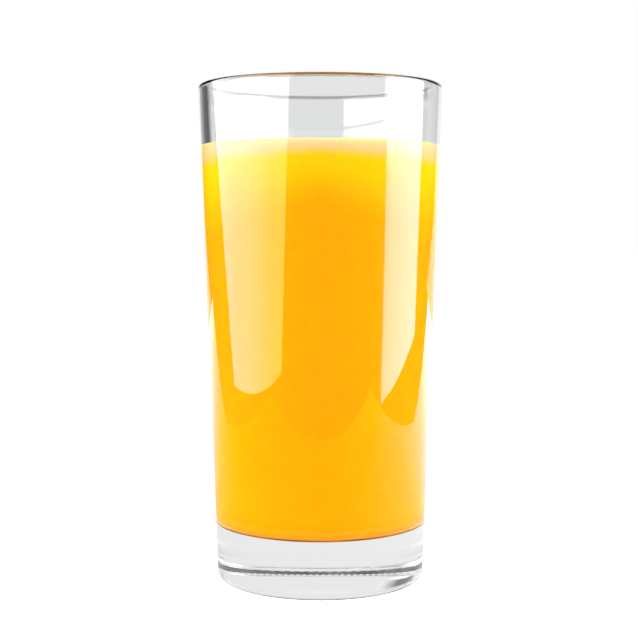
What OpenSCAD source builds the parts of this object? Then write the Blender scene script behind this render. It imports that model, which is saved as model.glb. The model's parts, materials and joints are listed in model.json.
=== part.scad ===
// Tall tumbler of orange juice.
// The pressed glass has a straight leaning side, a fully rounded rim and a thick base.
// The base stands on a flat bearing ring round a shallow hollow, and its heel is rounded.
// The juice fills the inside face to face, up to a level surface with a small meniscus.
// The origin is at the centre of the bearing ring, with +Z up. Sizes are in millimetres.

/* [Tumbler] */
// Overall height
height = 143; // [110:1:180]
// Outer diameter at the rim, the widest part
rim_diameter = 70; // [60:1:90]
// Lean of the side from upright, in degrees
side_lean = 2.05; // [0:0.05:3]
// Thickness of the wall at the rim
rim_wall = 2.5; // [1.6:0.1:3.4]
// Thickness of the wall level with the inside floor
base_wall = 3; // [2:0.1:4.5]

/* [Base] */
// Height of the inside floor above the table
floor_height = 16; // [10:0.5:30]
// Radius of the inside corner round the floor
floor_corner = 4; // [1:0.5:8]
// Radius of the rounded heel
heel_radius = 2.6; // [1:0.1:6]
// Width of the flat bearing ring
bearing_width = 8; // [2:0.5:10]
// Depth of the hollow underside at its centre
hollow_depth = 1.5; // [0.5:0.1:4]

/* [Orange juice] */
// Drop from the top of the rim to the level surface of the juice
rim_gap = 18; // [5:1:80]
// How far the juice climbs the wall above its level surface
meniscus_rise = 0.8; // [0.3:0.1:1.4]
// Width of the curved strip of surface beside the wall
meniscus_width = 1.6; // [1.4:0.1:4]

/* [Hidden] */

// Segments in a full circle
$fn = 180;

glass_colour = [0.86, 0.92, 0.94, 0.35];
juice_colour = [1.0, 0.68, 0.0];

// Outlines lie in the plane of radius and height, and circle centres are [radius, height].
rim_round = rim_wall / 2;
rim_centre = [rim_diameter / 2 - rim_round, height - rim_round];

// Radius of the outer side at a height
function outer_radius(z) =
    rim_centre[0] + rim_round / cos(side_lean) - (rim_centre[1] - z) * tan(side_lean);

heel_centre = [outer_radius(heel_radius) - heel_radius / cos(side_lean), heel_radius];

// The inner side runs from the floor's edge and just touches the rim's round top.
floor_edge = [outer_radius(floor_height) - base_wall, floor_height];
edge_to_rim = rim_centre - floor_edge;
inner_lean = atan2(edge_to_rim[0], edge_to_rim[1]) - asin(rim_round / norm(edge_to_rim));

// Radius of the inner side at a height
function inner_radius(z) = floor_edge[0] + (z - floor_height) * tan(inner_lean);

corner_height = floor_height + floor_corner;
corner_centre = [inner_radius(corner_height) - floor_corner / cos(inner_lean), corner_height];

// Where a leaning side touches a circle, on its outer side (side = 1) or inner side (side = -1)
function touch(centre, radius, lean, side) =
    centre + side * radius * [cos(lean), -sin(lean)];

// Radius of an arc that leaves a flat and is rise away from it after run
function arc_radius(run, rise) = (run * run + rise * rise) / (2 * rise);

hollow_edge = heel_centre[0] - bearing_width;
hollow_radius = arc_radius(hollow_edge, hollow_depth);

juice_level = height - rim_gap;
juice_top = juice_level + meniscus_rise;
meniscus_start = inner_radius(juice_level) - meniscus_width;
meniscus_radius = arc_radius(inner_radius(juice_top) - meniscus_start, meniscus_rise);

// Half section of the glass
module glass_section() {
    difference() {
        union() {
            polygon([
                [0, 0],
                [heel_centre[0], 0],
                touch(heel_centre, heel_radius, side_lean, 1),
                touch(rim_centre, rim_round, side_lean, 1),
                touch(rim_centre, rim_round, inner_lean, -1),
                touch(corner_centre, floor_corner, inner_lean, 1),
                [corner_centre[0], floor_height],
                [0, floor_height]
            ]);
            translate(heel_centre) circle(heel_radius);
            translate(rim_centre) circle(rim_round);
        }
        translate(corner_centre) circle(floor_corner);
        translate([0, hollow_depth - hollow_radius]) circle(hollow_radius);
    }
}

// Half section of the juice
module juice_section() {
    difference() {
        union() {
            polygon([
                [0, floor_height],
                [corner_centre[0], floor_height],
                touch(corner_centre, floor_corner, inner_lean, 1),
                [inner_radius(juice_top), juice_top],
                [meniscus_start, juice_level],
                [0, juice_level]
            ]);
            translate(corner_centre) circle(floor_corner);
        }
        translate([meniscus_start, juice_level + meniscus_radius]) circle(meniscus_radius);
    }
}

module tumbler() {
    color(glass_colour) rotate_extrude() glass_section();
}

module orange_juice() {
    color(juice_colour) rotate_extrude() juice_section();
}

tumbler();
orange_juice();
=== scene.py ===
"""Looks of a glass of orange juice: a pressed tumbler, the juice, a few bubbles and a pale studio.

Every length is in metres, and the part stands on z = 0 with +Z along its axis.
"""

import json
import math
import random

import bpy
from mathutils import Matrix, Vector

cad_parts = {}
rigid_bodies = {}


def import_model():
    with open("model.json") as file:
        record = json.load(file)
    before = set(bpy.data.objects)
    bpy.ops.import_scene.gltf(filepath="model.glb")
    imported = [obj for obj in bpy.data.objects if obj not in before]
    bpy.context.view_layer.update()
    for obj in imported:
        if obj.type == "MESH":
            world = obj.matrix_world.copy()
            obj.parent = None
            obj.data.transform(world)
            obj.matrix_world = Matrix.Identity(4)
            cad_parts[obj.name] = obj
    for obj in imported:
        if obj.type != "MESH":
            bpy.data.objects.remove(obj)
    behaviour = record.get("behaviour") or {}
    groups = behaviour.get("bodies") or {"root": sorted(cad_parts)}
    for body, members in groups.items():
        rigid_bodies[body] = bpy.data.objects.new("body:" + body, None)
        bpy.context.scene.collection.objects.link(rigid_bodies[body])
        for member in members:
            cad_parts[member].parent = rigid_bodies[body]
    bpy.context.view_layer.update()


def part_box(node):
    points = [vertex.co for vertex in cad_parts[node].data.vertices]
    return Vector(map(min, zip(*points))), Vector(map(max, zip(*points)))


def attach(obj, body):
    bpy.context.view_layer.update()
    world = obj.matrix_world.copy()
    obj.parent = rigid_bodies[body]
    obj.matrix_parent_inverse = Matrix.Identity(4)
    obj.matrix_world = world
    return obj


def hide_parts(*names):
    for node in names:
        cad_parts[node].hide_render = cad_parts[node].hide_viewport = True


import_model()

bl_info = {
    "name": "Glass of Orange Juice",
    "version": (1, 0, 0),
    "blender": (4, 5, 0),
    "location": "View3D > Sidebar > Juice",
    "description": "Models a tumbler of orange juice and the studio round it",
    "category": "Object",
}

MM = 0.001
GLASS_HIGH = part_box("tumbler")[1]
JUICE_LOW, JUICE_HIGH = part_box("orange_juice")

# How near a point lies to a level or radius to count as on it
ON_FACE = 0.02 * MM
# Points nearer to each other than this are merged
SAME_POINT = 0.004 * MM
# Distance between a levelling cut and the curve next to it
CUT_GAP = 0.4 * MM
# Plain strip along each side of the ground, knurled part of the bearing ring
RING_MARGIN = 0.9 * MM

# How finely the curves are made
STEPS_PER_KNURL = 4
JUICE_SIDES = 256
CORNER_STEPS = 12
RIM_STEPS = 8
HEEL_STEPS = 14
HOLLOW_RINGS = 12
MENISCUS_RINGS = 10
# Even rings across the level surface of the juice, and the width of each
SURFACE_RINGS = 24
SURFACE_STEP = 1.2 * MM
# Even cuts that keep the faces of the walls short
WALL_CUTS = 6
JUICE_CUTS = 6
JUICE_CUT_STEP = 20 * MM

# Height of the brown line of painted shade where the bottom of the juice turns under
SHADE_LINE_HEIGHT = 0.85 * MM
# Bubbles lie in small clusters and are a little flat.
BUBBLES_PER_CLUSTER = 5
SMALLEST_BUBBLE, LARGEST_BUBBLE = 0.16 * MM, 0.45 * MM
BUBBLE_FLATNESS = 0.82
BUBBLE_SEED = 11

# Strength of the surroundings and of the panels as lamps for matt surfaces
SOFT_FILL = 0.56
LEFT_CAST = 2.4
RIGHT_CAST = 4.2

WHITE = (1.0, 1.0, 1.0, 1.0)
GLASS_IOR = 1.5
JUICE_IOR = 1.35
# Juice seen through the glass that it wets
WETTED_IOR = 0.9
JUICE_SCATTER = {
    "Subsurface Weight": 1.0, "Subsurface Radius": (1.0, 0.35, 0.03), "Subsurface Scale": 0.012}


# ---------------------------------------------------------------- settings

def length(label, text, value, low=0.0, high=1.0):
    """A length that the sidebar shows in scene units."""
    return bpy.props.FloatProperty(
        name=label, description=text, default=value, min=low, max=high, unit="LENGTH", precision=5)


def colour(label, text, value):
    """A linear colour without alpha."""
    return bpy.props.FloatVectorProperty(
        name=label, description=text, default=value, size=3, subtype="COLOR", min=0.0, max=1.0)


class TumblerSettings(bpy.types.PropertyGroup):
    """Sizes of the pressed glass."""

    height: length("Height", "Overall height", GLASS_HIGH.z)
    rim_radius: length("Rim radius", "Outer radius at the rim", GLASS_HIGH.x)
    side_lean: bpy.props.FloatProperty(
        name="Side lean", description="Lean of the side from upright",
        default=math.radians(2.05), min=0.0, max=0.1, subtype="ANGLE")
    rim_wall: length("Rim wall", "Thickness of the wall at the rim", 2.5 * MM)
    base_wall: length("Base wall", "Thickness of the wall level with the floor", 3.0 * MM)
    floor_height: length("Floor height", "Height of the inside floor", JUICE_LOW.z)
    floor_corner: length("Floor corner", "Radius of the inside corner round the floor", 4 * MM)
    heel_radius: length("Heel radius", "Radius of the rounded heel", 2.6 * MM)
    bearing_width: length("Bearing ring", "Width of the ring that the glass stands on", 8 * MM)
    hollow_depth: length("Hollow depth", "Depth of the hollow underside", 1.5 * MM)
    knurls: bpy.props.IntProperty(
        name="Knurls", description="Number of fine grooves round the bearing ring", default=144, min=12)
    knurl_depth: length("Knurl depth", "Depth of each groove", 0.25 * MM)
    tint: colour("Glass tint", "Colour of the light that one surface lets through", (0.985, 0.992, 0.99))


class JuiceSettings(bpy.types.PropertyGroup):
    """Level and colours of the juice."""

    meniscus_rise: length("Meniscus rise", "Climb of the juice up the wall", 0.8 * MM)
    meniscus_width: length("Meniscus width", "Width of the curved strip at the wall", 1.6 * MM)
    into_wall: length("Into the wall", "How far the juice reaches into the glass", 0.12 * MM)
    body_colour: colour("Body", "Juice in the depth of the glass", (1.0, 0.30, 0.0))
    # The top colour is yellower with painted light that falls in through the surface; the froth colour is
    # partly froth and partly that painted light.
    top_painted_light_colour: colour("Top", "Juice just below its surface", (1.0, 0.455, 0.001))
    froth_and_painted_light_colour: colour("Froth", "Fine froth at the surface", (1.0, 0.45, 0.25))
    bubbles: bpy.props.IntProperty(
        name="Bubbles", description="Small bubbles round the edge of the surface", default=110, min=1)


class StudioSettings(bpy.types.PropertyGroup):
    """Camera, panels and backdrop."""

    camera_distance: length("Camera distance", "From the glass's axis to the lens", 0.400, high=5.0)
    camera_height: length("Camera height", "Height of the lens above the table", 0.101, high=5.0)
    camera_tilt: bpy.props.FloatProperty(
        name="Camera tilt", description="How far the camera looks down", default=math.radians(3.63),
        subtype="ANGLE")
    lens: bpy.props.FloatProperty(
        name="Lens", description="Focal length in millimetres on a 36 mm sensor", default=77.76)
    shift: bpy.props.FloatProperty(
        name="Shift", description="Sideways shift of the picture, as a share of its width", default=-0.0020,
        precision=4)
    left_strength: bpy.props.FloatProperty(
        name="Left panel", description="Brightness of the eight-sided panel on the left", default=4.8)
    right_strength: bpy.props.FloatProperty(
        name="Right panel", description="Brightness of the panel on the right", default=8.8)
    floor_colour: colour("Floor", "Pale floor", (0.9, 0.9, 0.9))


class JuiceGlassProperties(bpy.types.PropertyGroup):
    """Everything that the sidebar shows."""

    tumbler: bpy.props.PointerProperty(type=TumblerSettings)
    juice: bpy.props.PointerProperty(type=JuiceSettings)
    studio: bpy.props.PointerProperty(type=StudioSettings)


# ---------------------------------------------------------------- section of the glass

def outer_radius(t, z):
    """Radius of the outer side at a height."""
    centre_r = t.rim_radius - t.rim_wall / 2
    centre_z = t.height - t.rim_wall / 2
    return centre_r + t.rim_wall / 2 / math.cos(t.side_lean) - (centre_z - z) * math.tan(t.side_lean)


def inner_lean(t):
    """Lean of the inner side, which runs from the floor's edge to touch the rim's round top."""
    run = t.rim_radius - t.rim_wall / 2 - floor_radius(t)
    rise = t.height - t.rim_wall / 2 - t.floor_height
    return math.atan2(run, rise) - math.asin(t.rim_wall / 2 / math.hypot(run, rise))


def floor_radius(t):
    """Radius at which the inner side would meet the floor."""
    return outer_radius(t, t.floor_height) - t.base_wall


def inner_radius(t, z):
    """Radius of the inner side at a height."""
    return floor_radius(t) + (z - t.floor_height) * math.tan(inner_lean(t))


# ---------------------------------------------------------------- modelling helpers

def deselect_all():
    for o in bpy.context.view_layer.objects:
        o.select_set(False)


def begin_edit(o):
    """Makes o the only selected object and opens it in edit mode with nothing selected."""
    deselect_all()
    o.select_set(True)
    bpy.context.view_layer.objects.active = o
    bpy.ops.object.mode_set(mode="EDIT")
    bpy.ops.mesh.select_all(action="DESELECT")


def end_edit():
    bpy.ops.object.mode_set(mode="OBJECT")


def pick(o, kind, wanted):
    """In edit mode, selects exactly the faces, edges or vertices for which wanted(item) is true."""
    bpy.ops.mesh.select_mode(type=kind)
    bpy.ops.mesh.select_all(action="DESELECT")
    bpy.ops.object.mode_set(mode="OBJECT")
    items = {"FACE": o.data.polygons, "EDGE": o.data.edges, "VERT": o.data.vertices}[kind]
    for item in items:
        item.select = bool(wanted(item))
    bpy.ops.object.mode_set(mode="EDIT")


def pick_flat(o, z):
    """Selects the one level face that closes the form at a height."""
    pick(o, "FACE", lambda f: abs(f.center.z - z) < ON_FACE and len(f.vertices) > 8)


def pick_ring(o, radius, z):
    """Selects the ring of edges at a radius and height."""
    points = o.data.vertices

    def on_ring(edge):
        ends = [points[i].co for i in edge.vertices]
        return all(abs(p.z - z) < ON_FACE and abs(math.hypot(p.x, p.y) - radius) < ON_FACE for p in ends)

    pick(o, "EDGE", on_ring)


def scale_ring(factor):
    """Scales what is selected about the axis, level by level."""
    bpy.ops.transform.resize(value=(factor, factor, 1.0), center_override=(0.0, 0.0, 0.0))


def inset(width, depth=0.0):
    bpy.ops.mesh.inset(thickness=width, depth=depth, use_even_offset=True)


def round_ring(width, segments):
    """Rounds the selected ring of edges."""
    bpy.ops.mesh.bevel(offset_type="OFFSET", offset=width, segments=segments, profile=0.5, affect="EDGES")


def cut_levels(heights):
    """Adds a level ring of edges all round the form at each height."""
    for z in heights:
        bpy.ops.mesh.select_all(action="SELECT")
        bpy.ops.mesh.bisect(plane_co=(0.0, 0.0, z), plane_no=(0.0, 0.0, 1.0))


def tidy_mesh():
    """Merges doubles, turns every face outwards and leaves edit mode."""
    bpy.ops.mesh.select_mode(type="VERT")
    bpy.ops.mesh.select_all(action="SELECT")
    bpy.ops.mesh.remove_doubles(threshold=SAME_POINT)
    bpy.ops.mesh.select_all(action="SELECT")
    bpy.ops.mesh.normals_make_consistent(inside=False)
    bpy.ops.mesh.select_all(action="DESELECT")
    end_edit()


def smooth(o, angle_deg):
    deselect_all()
    o.select_set(True)
    bpy.context.view_layer.objects.active = o
    bpy.ops.object.shade_smooth_by_angle(angle=math.radians(angle_deg))


def settle(o):
    """Applies the object's place to its mesh, so that the object sits at the origin."""
    deselect_all()
    o.select_set(True)
    bpy.context.view_layer.objects.active = o
    bpy.ops.object.transform_apply(location=True, rotation=True, scale=True)


# ---------------------------------------------------------------- material helpers

class Nodes:
    """Builds one material's nodes from short calls."""

    def __init__(self, name):
        self.material = bpy.data.materials.new(name)
        self.material.use_nodes = True
        self.tree = self.material.node_tree
        self.tree.nodes.clear()

    def add(self, kind, inputs=None, **settings):
        """Adds a node, sets its properties, and sets or links its inputs."""
        node = self.tree.nodes.new(kind)
        for key, value in settings.items():
            setattr(node, key, value)
        for key, value in (inputs or {}).items():
            if isinstance(value, bpy.types.NodeSocket):
                self.tree.links.new(value, node.inputs[key])
            else:
                node.inputs[key].default_value = value
        return node

    def ramp(self, factor, stops, interpolation="LINEAR"):
        """A colour ramp. stops are (position, colour)."""
        node = self.add("ShaderNodeValToRGB", {"Fac": factor})
        node.color_ramp.interpolation = interpolation
        ends = node.color_ramp.elements
        while len(ends) < len(stops):
            ends.new(0.5)
        for end, (position, value) in zip(ends, stops):
            end.position = position
            end.color = (*value, 1.0)
        return node.outputs["Color"]

    def maths(self, operation, a, b=0.0, clamp=False):
        return self.add("ShaderNodeMath", {0: a, 1: b}, operation=operation, use_clamp=clamp).outputs[0]

    def place(self):
        """Object coordinates."""
        return self.add("ShaderNodeTexCoord").outputs["Object"]

    def split(self, vector):
        """The X, Y and Z of a vector."""
        return self.add("ShaderNodeSeparateXYZ", {0: vector}).outputs

    def away(self, vector):
        """How long a vector is."""
        return self.add("ShaderNodeVectorMath", {0: vector}, operation="LENGTH").outputs["Value"]

    def span(self, value, start, end, low=0.0, high=1.0):
        """Goes from low to high while the value goes from start to end."""
        return self.add("ShaderNodeMapRange", {0: value, 1: start, 2: end, 3: low, 4: high}).outputs[0]

    def blend(self, factor, a, b, how="MIX"):
        """Mixes two colours."""
        inputs = {0: factor, 6: a, 7: b}
        return self.add("ShaderNodeMix", inputs, data_type="RGBA", blend_type=how).outputs[2]

    def choose(self, factor, a, b):
        """Mixes two values."""
        return self.add("ShaderNodeMix", {0: factor, 2: a, 3: b}).outputs[0]

    def output(self, shader):
        self.add("ShaderNodeOutputMaterial", {"Surface": shader})
        return self.material

    def glow(self, tone, strength):
        """Ends the material with light of its own."""
        return self.output(self.add("ShaderNodeEmission", {"Color": tone, "Strength": strength}).outputs[0])


def relief_group():
    """Soft relief shared by the glass and the juice: broad waves and fine grain, both as heights."""
    name = "Soft Relief"
    if name in bpy.data.node_groups:
        return bpy.data.node_groups[name]
    group = bpy.data.node_groups.new(name, "ShaderNodeTree")
    sockets = group.interface
    sockets.new_socket("Vector", in_out="INPUT", socket_type="NodeSocketVector")
    for label, value in (("Wave Scale", 30.0), ("Grain Scale", 900.0), ("Grain Share", 0.2)):
        sockets.new_socket(label, in_out="INPUT", socket_type="NodeSocketFloat").default_value = value
    sockets.new_socket("Height", in_out="OUTPUT", socket_type="NodeSocketFloat")
    sockets.new_socket("Waves", in_out="OUTPUT", socket_type="NodeSocketFloat")
    nodes, links = group.nodes, group.links
    start = nodes.new("NodeGroupInput")
    end = nodes.new("NodeGroupOutput")
    waves = nodes.new("ShaderNodeTexNoise")
    waves.inputs["Detail"].default_value = 2.0
    grain = nodes.new("ShaderNodeTexNoise")
    grain.inputs["Detail"].default_value = 3.0
    mixed = nodes.new("ShaderNodeMix")
    links.new(start.outputs["Vector"], waves.inputs["Vector"])
    links.new(start.outputs["Vector"], grain.inputs["Vector"])
    links.new(start.outputs["Wave Scale"], waves.inputs["Scale"])
    links.new(start.outputs["Grain Scale"], grain.inputs["Scale"])
    links.new(start.outputs["Grain Share"], mixed.inputs["Factor"])
    links.new(waves.outputs["Fac"], mixed.inputs["A"])
    links.new(grain.outputs["Fac"], mixed.inputs["B"])
    links.new(mixed.outputs["Result"], end.inputs["Height"])
    links.new(waves.outputs["Fac"], end.inputs["Waves"])
    return group


def add_relief(m, vector, wave_scale, grain_scale, grain_share):
    node = m.add("ShaderNodeGroup", node_tree=relief_group())
    m.tree.links.new(vector, node.inputs["Vector"])
    node.inputs["Wave Scale"].default_value = wave_scale
    node.inputs["Grain Scale"].default_value = grain_scale
    node.inputs["Grain Share"].default_value = grain_share
    return node


def glass_material(t):
    """Clear soda glass with the slight waviness that pressing leaves. Lamps shine through it.

    Its tint is painted nearly black in a thin band just under the top of the rim and over the lowest
    millimetre of the glass: painted shade that draws their thin dark lines. The inner side of the rim's top
    is tinted grey, painted shade that dims the bright line it shows.
    """
    m = Nodes("clear_glass")
    place = m.place()
    relief = add_relief(m, place, 45.0, 700.0, 0.05)
    bump = m.add("ShaderNodeBump", {
        "Height": relief.outputs["Height"], "Strength": 0.05, "Distance": 0.0004})
    spot = m.split(place)
    # Painted shade: a thin dark band just under the top of the rim.
    rim_low = m.span(spot["Z"], t.height - 0.74 * MM, t.height - 0.64 * MM)
    rim_high = m.span(spot["Z"], t.height - 0.26 * MM, t.height - 0.32 * MM)
    rim_painted_shade = m.maths("MULTIPLY", m.maths("MULTIPLY", rim_low, rim_high), 0.8)
    # Painted shade: the lowest millimetre of the glass darkens.
    foot_painted_shade = m.span(spot["Z"], 1.1 * MM, 0.4 * MM)
    line = m.maths("MAXIMUM", rim_painted_shade, foot_painted_shade)
    tone = m.ramp(line, [(0.0, tuple(t.tint)), (1.0, (0.02, 0.02, 0.02))])
    # Painted shade: the inner half of the rim's top is tinted grey.
    flat = m.add("ShaderNodeCombineXYZ", {0: spot["X"], 1: spot["Y"]}).outputs[0]
    inner_half = m.maths("LESS_THAN", m.away(flat), t.rim_radius - 1.3 * MM)
    rim_top = m.span(spot["Z"], t.height - 1.2 * MM, t.height - 0.95 * MM)
    tone = m.blend(m.maths("MULTIPLY", inner_half, rim_top), tone, (0.30, 0.30, 0.31, 1.0))
    glass = m.add("ShaderNodeBsdfPrincipled", {
        "Base Color": tone, "Roughness": 0.0, "IOR": GLASS_IOR,
        "Transmission Weight": 1.0, "Normal": bump.outputs["Normal"]})
    clear = m.add("ShaderNodeBsdfTransparent", {"Color": (0.96, 0.965, 0.96, 1.0)})
    path = m.add("ShaderNodeLightPath")
    passing = m.maths("MAXIMUM", path.outputs["Is Shadow Ray"], path.outputs["Is Diffuse Ray"])
    mix = m.add("ShaderNodeMixShader", {0: passing, 1: glass.outputs[0], 2: clear.outputs[0]})
    return m.output(mix.outputs[0])


def ground_ring_shade_material():
    """The bearing ring, ground dull where the tumbler stands, and painted a patchy dark grey: painted shade
    for the dark band that the ring shows.
    """
    m = Nodes("ground_ring_painted_shade")
    relief = add_relief(m, m.place(), 130.0, 1600.0, 0.35)
    # Painted shade: patchy near-black to dark grey over the ring.
    tone = m.ramp(relief.outputs["Height"], [(0.44, (0.01, 0.01, 0.01)), (0.60, (0.16, 0.16, 0.165))])
    bump = m.add("ShaderNodeBump", {"Height": relief.outputs["Height"], "Strength": 0.5, "Distance": 0.0003})
    ring = m.add("ShaderNodeBsdfPrincipled", {
        "Base Color": tone, "Roughness": 0.55, "Specular IOR Level": 0.3, "Normal": bump.outputs["Normal"]})
    return m.output(ring.outputs[0])


def pulp_clouds(m, place):
    """Faint clouds and grain of pulp, as a height."""
    return add_relief(m, place, 60.0, 500.0, 0.4).outputs["Height"]


def juice_colours(m, j, place, level, bottom):
    """Colour of the juice by depth under its surface, with clouds of pulp. The pale band at the surface is
    partly froth and partly painted light, the yellower juice under it is painted light falling in through
    the surface over the juice's own deeper orange, and the darker, redder very bottom is painted shade.
    """
    spot = m.split(place)
    depth = m.maths("SUBTRACT", level, spot["Z"])
    # The colour deepens further down at the sides than in the middle, so the painted light of the top
    # reaches deeper there.
    reach = m.maths("ADD", m.maths("MULTIPLY", m.maths("ABSOLUTE", spot["X"]), 0.8), 0.030)
    share = m.maths("DIVIDE", depth, reach, clamp=True)
    froth, top, body = tuple(j.froth_and_painted_light_colour), tuple(j.top_painted_light_colour), tuple(j.body_colour)
    graded = m.ramp(share, [(0.0, froth), (0.015, froth), (0.12, top), (0.55, body)], "EASE")
    # Painted shade: the lowest 6 mm grow darker and redder.
    low = m.ramp(m.span(spot["Z"], bottom, bottom + 6 * MM), [
        (0.0, (0.75, 0.45, 0.3)), (0.20, (0.85, 0.62, 0.5)), (0.45, (1.0, 0.88, 1.0)),
        (1.0, (1.0, 1.0, 1.0))])
    graded = m.blend(1.0, graded, low, "MULTIPLY")
    return m.blend(m.maths("MULTIPLY", pulp_clouds(m, place), 0.06), graded, (1.0, 0.62, 0.02, 1.0))


def painted_grey_reflection(m, shader, place):
    """Swaps the juice for a grey glow in mirror reflections, so that the clear base stays clear: a painted
    reflection, light grey up to 50 mm and nearly black above 70 mm.

    It glows the same grey to matt surfaces too, so that it casts no orange on the ground ring and the floor;
    there it lights them though it is no lamp.
    """
    path = m.add("ShaderNodeLightPath")
    mirrored = m.maths("GREATER_THAN", path.outputs["Glossy Depth"], 0.5)
    indirect = m.maths("MAXIMUM", mirrored, path.outputs["Is Diffuse Ray"])
    # Painted reflection: the glow is light grey low down and nearly black higher up.
    low = m.span(m.split(place)["Z"], 0.070, 0.050)
    tone = m.ramp(low, [(0.0, (0.05, 0.05, 0.05)), (1.0, (0.86, 0.86, 0.86))])
    grey = m.add("ShaderNodeEmission", {"Color": tone})
    return m.add("ShaderNodeMixShader", {0: indirect, 1: shader, 2: grey.outputs[0]}).outputs[0]


def juice_body_material(j, level, bottom):
    """Juice against the wall: cloudy, and dull where it wets the glass."""
    m = Nodes("orange_juice_body")
    place = m.place()
    body = m.add("ShaderNodeBsdfPrincipled", {
        "Base Color": juice_colours(m, j, place, level, bottom), "Roughness": 0.04, "IOR": WETTED_IOR,
        "Specular IOR Level": 0.5, **JUICE_SCATTER})
    return m.output(painted_grey_reflection(m, body.outputs[0], place))


def juice_surface_material():
    """The open surface: wet, with fine pulp."""
    m = Nodes("orange_juice_surface")
    place = m.place()
    clouds = pulp_clouds(m, place)
    tone = m.ramp(clouds, [(0.40, (1.0, 0.42, 0.01)), (0.62, (1.0, 0.56, 0.12))])
    bump = m.add("ShaderNodeBump", {"Height": clouds, "Strength": 0.35, "Distance": 0.0006})
    surface = m.add("ShaderNodeBsdfPrincipled", {
        "Base Color": tone, "Roughness": 0.12, "IOR": JUICE_IOR, "Normal": bump.outputs["Normal"],
        **JUICE_SCATTER})
    return m.output(painted_grey_reflection(m, surface.outputs[0], place))


def juice_shade_line_material():
    """The thin brown line where the bottom of the juice turns under: painted shade."""
    m = Nodes("orange_juice_painted_shade_line")
    place = m.place()
    relief = add_relief(m, place, 90.0, 700.0, 0.3)
    # Painted shade: dark brown, varying in patches.
    tone = m.ramp(relief.outputs["Waves"], [(0.35, (0.14, 0.05, 0.003)), (0.65, (0.30, 0.11, 0.004))])
    line = m.add("ShaderNodeBsdfPrincipled", {
        "Base Color": tone, "Roughness": 0.6, "Specular IOR Level": 0.0})
    return m.output(painted_grey_reflection(m, line.outputs[0], place))


def bubble_material():
    """Thin wet film over trapped air, tinted by the juice."""
    m = Nodes("bubble_film")
    relief = add_relief(m, m.place(), 400.0, 2500.0, 0.3)
    tone = m.ramp(relief.outputs["Waves"], [(0.3, (1.0, 0.90, 0.62)), (0.7, (1.0, 0.97, 0.88))])
    film = m.add("ShaderNodeBsdfPrincipled", {
        "Base Color": tone, "Roughness": 0.05, "IOR": JUICE_IOR,
        "Subsurface Weight": 0.6, "Subsurface Radius": (1.0, 0.6, 0.2), "Subsurface Scale": 0.0008})
    return m.output(film.outputs[0])


# ---------------------------------------------------------------- pieces

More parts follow.
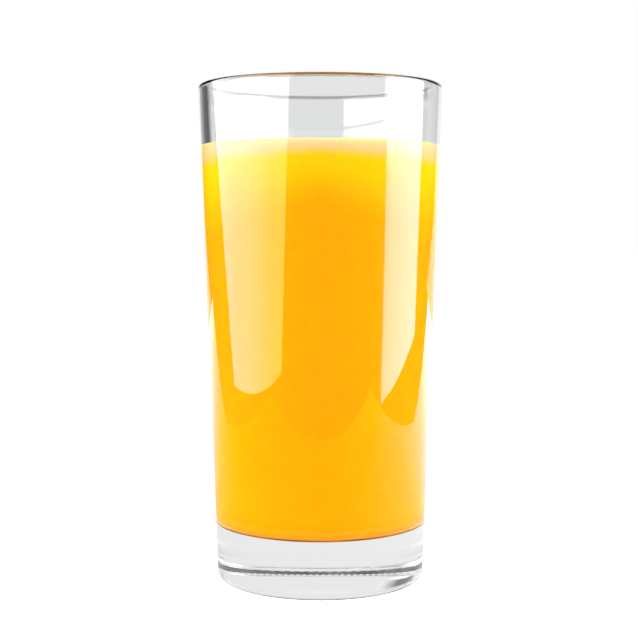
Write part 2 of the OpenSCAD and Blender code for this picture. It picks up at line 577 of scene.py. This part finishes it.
class JUICE_OT_build_tumbler(bpy.types.Operator):
    """Models the tumbler from a cylinder: wall, rim, floor, heel, hollow underside and knurls"""

    bl_idname = "juice_glass.build_tumbler"
    bl_label = "Build Tumbler"

    def execute(self, context):
        t = context.scene.juice_glass.tumbler
        deselect_all()
        bpy.ops.mesh.primitive_cylinder_add(
            vertices=t.knurls * STEPS_PER_KNURL, radius=outer_radius(t, 0.0), depth=t.height,
            end_fill_type="NGON", location=(0.0, 0.0, t.height / 2))
        glass = context.active_object
        glass.name = "tumbler_glass"
        settle(glass)
        begin_edit(glass)

        top_outer, top_inner = outer_radius(t, t.height), inner_radius(t, t.height)
        pick_flat(glass, t.height)
        scale_ring(top_outer / outer_radius(t, 0.0))
        inset(top_outer - top_inner)
        bpy.ops.mesh.extrude_region_move(
            TRANSFORM_OT_translate={"value": (0.0, 0.0, t.floor_height - t.height)})
        scale_ring(floor_radius(t) / top_inner)

        pick_ring(glass, floor_radius(t), t.floor_height)
        round_ring(t.floor_corner, CORNER_STEPS)
        half_rim = (top_outer - top_inner) / 2 - 0.5 * ON_FACE
        pick_ring(glass, top_outer, t.height)
        round_ring(half_rim, RIM_STEPS)
        pick_ring(glass, top_inner, t.height)
        round_ring(half_rim, RIM_STEPS)
        pick_ring(glass, outer_radius(t, 0.0), 0.0)
        round_ring(t.heel_radius, HEEL_STEPS)

        self.shape_underside(glass, t)
        rim_start = t.height - t.rim_wall / 2
        step = (rim_start - t.floor_height) / WALL_CUTS
        cut_levels([t.heel_radius + CUT_GAP, t.floor_height + t.floor_corner + CUT_GAP,
                    *[t.floor_height + step * i for i in range(1, WALL_CUTS)], rim_start - CUT_GAP])
        tidy_mesh()
        smooth(glass, 30)

        glass.data.materials.clear()
        glass.data.materials.append(glass_material(t))
        glass.data.materials.append(ground_ring_shade_material())
        heel_edge = outer_radius(t, 0.0) - t.heel_radius
        ring_low, ring_high = heel_edge - t.bearing_width + RING_MARGIN, heel_edge - RING_MARGIN
        # Faces of the knurled strip take the ring's painted-shade material.
        for face in glass.data.polygons:
            radius = math.hypot(face.center.x, face.center.y)
            if face.center.z < t.knurl_depth + ON_FACE and ring_low < radius < ring_high:
                face.material_index = 1
        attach(glass, "root")
        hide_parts("tumbler")
        return {"FINISHED"}

    def shape_underside(self, glass, t):
        """Insets the bottom face into the knurled bearing ring and the shallow hollow."""
        heel_edge = outer_radius(t, 0.0) - t.heel_radius
        hollow_edge = heel_edge - t.bearing_width
        pick_flat(glass, 0.0)
        inset(RING_MARGIN)
        inset(t.bearing_width - 2 * RING_MARGIN)
        inset(RING_MARGIN)
        arc = (hollow_edge ** 2 + t.hollow_depth ** 2) / (2 * t.hollow_depth)
        radius, rise = hollow_edge, 0.0
        for i in range(1, HOLLOW_RINGS):
            next_radius = hollow_edge * (1 - i / HOLLOW_RINGS)
            next_rise = t.hollow_depth - arc + math.sqrt(arc ** 2 - next_radius ** 2)
            inset(radius - next_radius, -(next_rise - rise))
            radius, rise = next_radius, next_rise

        def step_in_knurl(v):
            """Which of a knurl's steps a vertex stands on, or None off the knurled strip."""
            r = math.hypot(v.co.x, v.co.y)
            on_strip = hollow_edge + RING_MARGIN / 2 < r < heel_edge - RING_MARGIN / 2
            if abs(v.co.z) > ON_FACE or not on_strip:
                return None
            turn = math.atan2(v.co.y, v.co.x) / (2 * math.pi) * t.knurls * STEPS_PER_KNURL
            return round(turn) % STEPS_PER_KNURL

        for steps, lift in (((2,), t.knurl_depth), ((1, 3), t.knurl_depth / 2)):
            pick(glass, "VERT", lambda v: step_in_knurl(v) in steps)
            bpy.ops.transform.translate(value=(0.0, 0.0, lift))


class JUICE_OT_pour_juice(bpy.types.Operator):
    """Models the juice from a cylinder: rounded bottom, leaning side, meniscus and surface"""

    bl_idname = "juice_glass.pour_juice"
    bl_label = "Pour Juice"

    def execute(self, context):
        t, j = context.scene.juice_glass.tumbler, context.scene.juice_glass.juice
        level = JUICE_HIGH.z - j.meniscus_rise
        bottom, top = t.floor_height - j.into_wall, JUICE_HIGH.z
        low_radius = inner_radius(t, bottom) + j.into_wall
        top_radius = inner_radius(t, top) + j.into_wall
        deselect_all()
        bpy.ops.mesh.primitive_cylinder_add(
            vertices=JUICE_SIDES, radius=low_radius, depth=top - bottom, end_fill_type="NGON",
            location=(0.0, 0.0, (top + bottom) / 2))
        juice = context.active_object
        juice.name = "orange_juice_fill"
        settle(juice)
        begin_edit(juice)
        pick_flat(juice, top)
        scale_ring(top_radius / low_radius)
        pick_ring(juice, low_radius, bottom)
        round_ring(t.floor_corner, CORNER_STEPS)
        cut_levels([bottom + t.floor_corner + CUT_GAP,
                    *[bottom + JUICE_CUT_STEP * i for i in range(1, JUICE_CUTS)], level - CUT_GAP])
        pick_flat(juice, top)
        inset(j.into_wall)
        self.shape_meniscus(j)
        for _ in range(SURFACE_RINGS):
            inset(SURFACE_STEP)
        tidy_mesh()

        juice.data.materials.clear()
        juice.data.materials.append(juice_body_material(j, level, bottom))
        juice.data.materials.append(juice_surface_material())
        juice.data.materials.append(juice_shade_line_material())
        for face in juice.data.polygons:
            if face.normal.z > 0.2 and face.center.z > level - 0.5 * MM:
                face.material_index = 1
            # The lowest strip of the juice takes the painted-shade line.
            elif face.center.z < bottom + SHADE_LINE_HEIGHT:
                face.material_index = 2
        smooth(juice, 40)
        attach(juice, "root")
        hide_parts("orange_juice")
        return {"FINISHED"}

    def shape_meniscus(self, j):
        """Steps the top face down the arc that the surface makes at the wall."""
        arc = (j.meniscus_width ** 2 + j.meniscus_rise ** 2) / (2 * j.meniscus_rise)
        sweep = math.asin(j.meniscus_width / arc)
        run, rise = j.meniscus_width, j.meniscus_rise
        for i in range(1, MENISCUS_RINGS + 1):
            angle = sweep * (1 - i / MENISCUS_RINGS)
            next_run, next_rise = arc * math.sin(angle), arc * (1 - math.cos(angle))
            inset(run - next_run, -(rise - next_rise))
            run, rise = next_run, next_rise


class JUICE_OT_add_bubbles(bpy.types.Operator):
    """Scatters small bubbles where the juice meets the wall"""

    bl_idname = "juice_glass.add_bubbles"
    bl_label = "Add Bubbles"

    def execute(self, context):
        t, j = context.scene.juice_glass.tumbler, context.scene.juice_glass.juice
        level = JUICE_HIGH.z - j.meniscus_rise
        chance = random.Random(BUBBLE_SEED)
        deselect_all()
        bpy.ops.mesh.primitive_ico_sphere_add(subdivisions=3, radius=1.0, location=(0.0, 0.0, 0.0))
        pattern = context.active_object
        begin_edit(pattern)
        bpy.ops.mesh.select_all(action="SELECT")
        bpy.ops.transform.resize(value=(1.0, 1.0, BUBBLE_FLATNESS), center_override=(0.0, 0.0, 0.0))
        end_edit()
        smooth(pattern, 60)
        made = []
        cluster = 0.0
        for i in range(j.bubbles):
            if i % BUBBLES_PER_CLUSTER == 0:
                cluster = chance.uniform(0.0, 2 * math.pi)
            size = chance.uniform(SMALLEST_BUBBLE, LARGEST_BUBBLE)
            turn = cluster + chance.gauss(0.0, 0.035)
            inward = size + abs(chance.gauss(0.0, 0.5)) * MM
            radius = inner_radius(t, level) - inward
            climb = max(0.0, 1 - inward / j.meniscus_width) ** 2 * j.meniscus_rise
            bubble = pattern.copy()
            bubble.data = pattern.data.copy()
            context.scene.collection.objects.link(bubble)
            bubble.scale = (size, size, size)
            bubble.location = (radius * math.cos(turn), radius * math.sin(turn), level + climb + 0.1 * size)
            made.append(bubble)
        bpy.data.objects.remove(pattern)
        deselect_all()
        for bubble in made:
            bubble.select_set(True)
        context.view_layer.objects.active = made[0]
        bpy.ops.object.transform_apply(location=True, rotation=True, scale=True)
        bpy.ops.object.join()
        bubbles = context.active_object
        bubbles.name = "surface_bubbles"
        bubbles.data.materials.clear()
        bubbles.data.materials.append(bubble_material())
        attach(bubbles, "root")
        return {"FINISHED"}


# ---------------------------------------------------------------- studio

def show_only_to(o, camera=False, diffuse=False, glossy=False, transmission=False, shadow=False):
    """Which kinds of ray meet a studio object."""
    o.visible_camera = camera
    o.visible_diffuse = diffuse
    o.visible_glossy = glossy
    o.visible_transmission = transmission
    o.visible_shadow = shadow
    o.visible_volume_scatter = False


def panel_material(name, stops, seen, cast):
    """A light panel. It mirrors in the glass with a tint that changes along it and near the froth.

    Above the froth, through the glass and as a lamp for matt surfaces it is plain.
    """
    m = Nodes(name)
    path = m.add("ShaderNodeLightPath")
    spot = m.split(m.place())
    along = m.ramp(m.span(spot["Y"], -0.40, 0.10), stops)
    at_froth = m.span(spot["Z"], 0.086, 0.108)
    tinted = m.blend(at_froth, along, (1.0, 0.64, 1.1, 1.0), "MULTIPLY")
    above_froth = m.span(spot["Z"], 0.114, 0.132)
    plain = m.maths("MAXIMUM", above_froth, path.outputs["Is Transmission Ray"])
    lamp = path.outputs["Is Diffuse Ray"]
    tone = m.blend(lamp, m.blend(plain, tinted, (0.9, 0.9, 0.9, 1.0)), WHITE)
    return m.glow(tone, m.choose(lamp, seen, cast))


class JUICE_OT_set_studio(bpy.types.Operator):
    """Sets the pale floor, the white surroundings, the light panels and the camera"""

    bl_idname = "juice_glass.set_studio"
    bl_label = "Set Studio"

    def execute(self, context):
        s = context.scene.juice_glass.studio
        self.set_camera(context, s)
        self.set_world(context)
        self.lay_floor(s)
        self.lay_sheet()
        self.hang_backdrop()
        self.hang_flags()
        self.hang_left_panel(s)
        self.hang_right_panel(s)
        view = context.scene.view_settings
        view.view_transform = "Standard"
        view.look = "None"
        cycles = context.scene.cycles
        cycles.max_bounces = 24
        cycles.transmission_bounces = 20
        cycles.glossy_bounces = 10
        cycles.diffuse_bounces = 4
        cycles.transparent_max_bounces = 24
        cycles.caustics_reflective = False
        cycles.caustics_refractive = False
        return {"FINISHED"}

    def set_camera(self, context, s):
        data = bpy.data.cameras.new("camera")
        data.sensor_width = 36.0
        data.lens = s.lens
        data.clip_start, data.clip_end = 0.01, 50.0
        camera = bpy.data.objects.new("camera", data)
        context.scene.collection.objects.link(camera)
        data.shift_x = s.shift
        camera.location = (0.0, -s.camera_distance, s.camera_height)
        camera.rotation_euler = (math.pi / 2 - s.camera_tilt, 0.0, 0.0)
        context.scene.camera = camera

    def set_world(self, context):
        """White to the camera and nearly so through glass, a soft fill for matt things, dark in mirrors."""
        world = bpy.data.worlds.new("surroundings")
        world.use_nodes = True
        context.scene.world = world
        tree = world.node_tree
        tree.nodes.clear()
        path = tree.nodes.new("ShaderNodeLightPath")
        out = tree.nodes.new("ShaderNodeOutputWorld")
        back = tree.nodes.new("ShaderNodeBackground")
        back.inputs["Color"].default_value = (1.0, 1.0, 1.0, 1.0)
        shade = None
        for label, value in (("Is Camera Ray", 1.0), ("Is Glossy Ray", 0.02), ("Is Transmission Ray", 0.82)):
            mix = tree.nodes.new("ShaderNodeMix")
            tree.links.new(path.outputs[label], mix.inputs["Factor"])
            mix.inputs["B"].default_value = value
            if shade is None:
                mix.inputs["A"].default_value = SOFT_FILL
            else:
                tree.links.new(shade, mix.inputs["A"])
            shade = mix.outputs["Result"]
        tree.links.new(shade, back.inputs["Strength"])
        tree.links.new(back.outputs[0], out.inputs["Surface"])

    def lay_floor(self, s):
        deselect_all()
        bpy.ops.mesh.primitive_circle_add(
            vertices=96, radius=6.0, fill_type="NGON", location=(0.0, 0.0, -0.3 * MM))
        ground = bpy.context.active_object
        ground.name = "floor"
        m = Nodes("pale_floor")
        relief = add_relief(m, m.place(), 8.0, 300.0, 0.3)
        tone = m.ramp(relief.outputs["Waves"], [
            (0.3, tuple(c * 0.985 for c in s.floor_colour)), (0.7, tuple(s.floor_colour))])
        paper = m.add("ShaderNodeBsdfPrincipled", {
            "Base Color": tone, "Roughness": 0.8, "Specular IOR Level": 0.1,
            "Emission Color": WHITE, "Emission Strength": 0.60})
        ground.data.materials.append(m.output(paper.outputs[0]))
        show_only_to(ground, camera=True, diffuse=True, shadow=True)

    def lay_sheet(self):
        """A sheet on the table that only the glass shows: tinted in mirrors, grey through the base.

        Through the base it is dark in the shade under the bearing ring.
        """
        sheet = self.add_card("table_sheet", (0.55, 0.33), (0.0, -0.065, -0.2 * MM), (0.0, 0.0, 0.0))
        self.widen(sheet, lambda v: v.co.y > 0.0, (0.0, 0.77, 0.0), (2.9, 1.0, 1.0))
        m = Nodes("table_sheet")
        place = m.place()
        spot = m.split(place)
        away = m.away(place)
        # In mirrors it grows brighter to the right and behind, and pinker there.
        right = m.maths("MULTIPLY", m.maths("MAXIMUM", spot["X"], 0.0), 4.5)
        behind = m.maths("MULTIPLY", m.maths("MAXIMUM", spot["Y"], 0.0), 3.0)
        mirrored = m.maths("ADD", m.maths("ADD", right, behind), 0.65)
        across = m.maths("MULTIPLY", spot["X"], 1.5)
        along = m.maths("MULTIPLY", spot["Y"], 4.0)
        whiten = m.maths("ADD", m.maths("ADD", across, along), 0.3, clamp=True)
        tone = m.ramp(whiten, [(0.0, (1.0, 1.0, 0.02)), (1.0, (1.0, 0.84, 1.0))])
        tone = m.blend(m.span(away, 0.10, 0.08), tone, WHITE)
        light, dark = (0.84, 0.84, 0.84), (0.02, 0.02, 0.02)
        shaded = m.ramp(away, [(0.0200, light), (0.0205, dark), (0.0262, dark), (0.0267, light)])
        through = m.add("ShaderNodeLightPath").outputs["Is Transmission Ray"]
        tone = m.blend(through, tone, WHITE)
        sheet.data.materials.append(m.glow(tone, m.choose(through, mirrored, shaded)))
        show_only_to(sheet, glossy=True, transmission=True)

    def hang_backdrop(self):
        """A white card behind the glass, seen only in mirrors."""
        backdrop = self.add_card("backdrop", (0.96, 0.5), (0.10, 0.87, 0.35), (math.pi / 2, 0.0, 0.0))
        self.widen(backdrop, lambda v: v.co.z < 0.2, (0.0, 0.0, -0.10), (1.66, 1.0, 1.0))
        backdrop.data.materials.append(Nodes("backdrop").glow(WHITE, 1.0))
        show_only_to(backdrop, glossy=True)

    def hang_flags(self):
        """Cards that show grey through the glass: one behind on the left and a dark one at each end."""
        end_size, end_turn = (0.15, 0.24), math.radians(64)
        for name, size, place, turn, near, far in (
            ("left_flag", (0.25, 0.16), (-0.235, 0.30, 0.19), 0.0, 0.86, 0.14),
            ("left_end", end_size, (-0.541, 0.264, 0.18), end_turn, 0.02, 0.02),
            ("right_end", end_size, (0.541, 0.264, 0.18), -end_turn, 0.02, 0.02),
        ):
            flag = self.add_card(name, size, place, (math.pi / 2, 0.0, turn))
            m = Nodes(name)
            outward = m.maths("ABSOLUTE", m.split(m.place())["X"])
            flag.data.materials.append(m.glow(WHITE, m.span(outward, 0.12, 0.19, near, far)))
            show_only_to(flag, transmission=True)

    def widen(self, card, wanted, move, factor):
        """Extrudes one edge of a card and widens its new end."""
        begin_edit(card)
        pick(card, "VERT", wanted)
        bpy.ops.mesh.select_mode(type="EDGE")
        bpy.ops.mesh.extrude_edges_move(TRANSFORM_OT_translate={"value": move})
        bpy.ops.transform.resize(value=factor, center_override=(0.0, 0.0, 0.0))
        end_edit()

    def add_card(self, name, size, place, turn):
        """A flat card with its size, turn and place in the mesh."""
        deselect_all()
        bpy.ops.mesh.primitive_plane_add(size=1.0, location=(0.0, 0.0, 0.0))
        card = bpy.context.active_object
        card.name = name
        begin_edit(card)
        bpy.ops.mesh.select_all(action="SELECT")
        bpy.ops.transform.resize(value=(size[0], size[1], 1.0), center_override=(0.0, 0.0, 0.0))
        end_edit()
        card.rotation_euler = turn
        card.location = place
        settle(card)
        return card

    def add_panel(self, name, corners, size, place, turn):
        """An upright panel with its size, turn and place in the mesh, left open in edit mode."""
        deselect_all()
        bpy.ops.mesh.primitive_circle_add(
            vertices=corners, radius=size / 2 / math.cos(math.pi / corners), fill_type="NGON",
            rotation=(0.0, 0.0, math.pi / corners))
        panel = bpy.context.active_object
        panel.name = name
        settle(panel)
        panel.rotation_euler = (0.0, turn, 0.0)
        panel.location = place
        settle(panel)
        begin_edit(panel)
        return panel

    def move_corners(self, panel, wanted, move):
        pick(panel, "VERT", wanted)
        bpy.ops.transform.translate(value=move)

    def light_panel(self, panel, stops, seen, cast):
        """Leaves edit mode and lights the panel."""
        end_edit()
        panel.data.materials.append(panel_material(panel.name, stops, seen, cast))
        show_only_to(panel, glossy=True, transmission=True, diffuse=True)

    def hang_left_panel(self, s):
        """An eight-sided panel on the left, its back side drawn in and cut up from the table."""
        middle = (-0.28, -0.19, 0.390)
        panel = self.add_panel("left_panel", 8, 0.797, middle, math.pi / 2)
        self.move_corners(
            panel, lambda v: v.co.z < 0.1 and v.co.y > middle[1], (0.0, 0.045, 0.026))
        self.move_corners(
            panel, lambda v: 0.1 < v.co.z < middle[2] and v.co.y > middle[1], (0.0, -0.042, 0.0))
        stops = [(0.08, (1.0, 0.96, 0.30)), (0.32, (1.0, 0.98, 0.46)), (0.46, (1.0, 1.0, 0.74)),
                 (0.62, (1.0, 1.0, 1.0)), (0.80, (1.0, 0.72, 1.0))]
        self.light_panel(panel, stops, s.left_strength, LEFT_CAST)

    def hang_right_panel(self, s):
        """A narrow four-sided panel on the right, its low back corner cut up from the table."""
        middle = (0.28, -0.025, 0.250)
        panel = self.add_panel("right_panel", 4, 0.50, middle, -math.pi / 2)
        pick(panel, "VERT", lambda v: True)
        bpy.ops.transform.resize(value=(1.0, 0.50, 1.0), center_override=middle)
        self.move_corners(panel, lambda v: v.co.y > 0.0, (0.0, -0.020, 0.0))
        self.move_corners(panel, lambda v: v.co.z < 0.1 and v.co.y > 0.0, (0.0, 0.0, 0.042))
        stops = [(0.50, (0.7, 0.55, 0.66)), (0.60, (1.0, 0.76, 0.95)), (0.80, (1.0, 0.76, 1.0)),
                 (0.98, (0.7, 0.50, 0.70))]
        self.light_panel(panel, stops, s.right_strength, RIGHT_CAST)


class JUICE_PT_glass(bpy.types.Panel):
    """Lists the steps that make the glass of juice"""

    bl_idname = "JUICE_PT_glass"
    bl_label = "Glass of Orange Juice"
    bl_space_type = "VIEW_3D"
    bl_region_type = "UI"
    bl_category = "Juice"

    def draw(self, context):
        for operator in OPERATORS:
            self.layout.operator(operator.bl_idname)


OPERATORS = (JUICE_OT_build_tumbler, JUICE_OT_pour_juice, JUICE_OT_add_bubbles, JUICE_OT_set_studio)
CLASSES = (TumblerSettings, JuiceSettings, StudioSettings, JuiceGlassProperties, *OPERATORS, JUICE_PT_glass)


def register():
    for cls in CLASSES:
        bpy.utils.register_class(cls)
    bpy.types.Scene.juice_glass = bpy.props.PointerProperty(type=JuiceGlassProperties)


def unregister():
    del bpy.types.Scene.juice_glass
    for cls in reversed(CLASSES):
        bpy.utils.unregister_class(cls)


def main():
    register()
    bpy.ops.juice_glass.build_tumbler()
    bpy.ops.juice_glass.pour_juice()
    bpy.ops.juice_glass.add_bubbles()
    bpy.ops.juice_glass.set_studio()


if __name__ == "__main__":
    main()
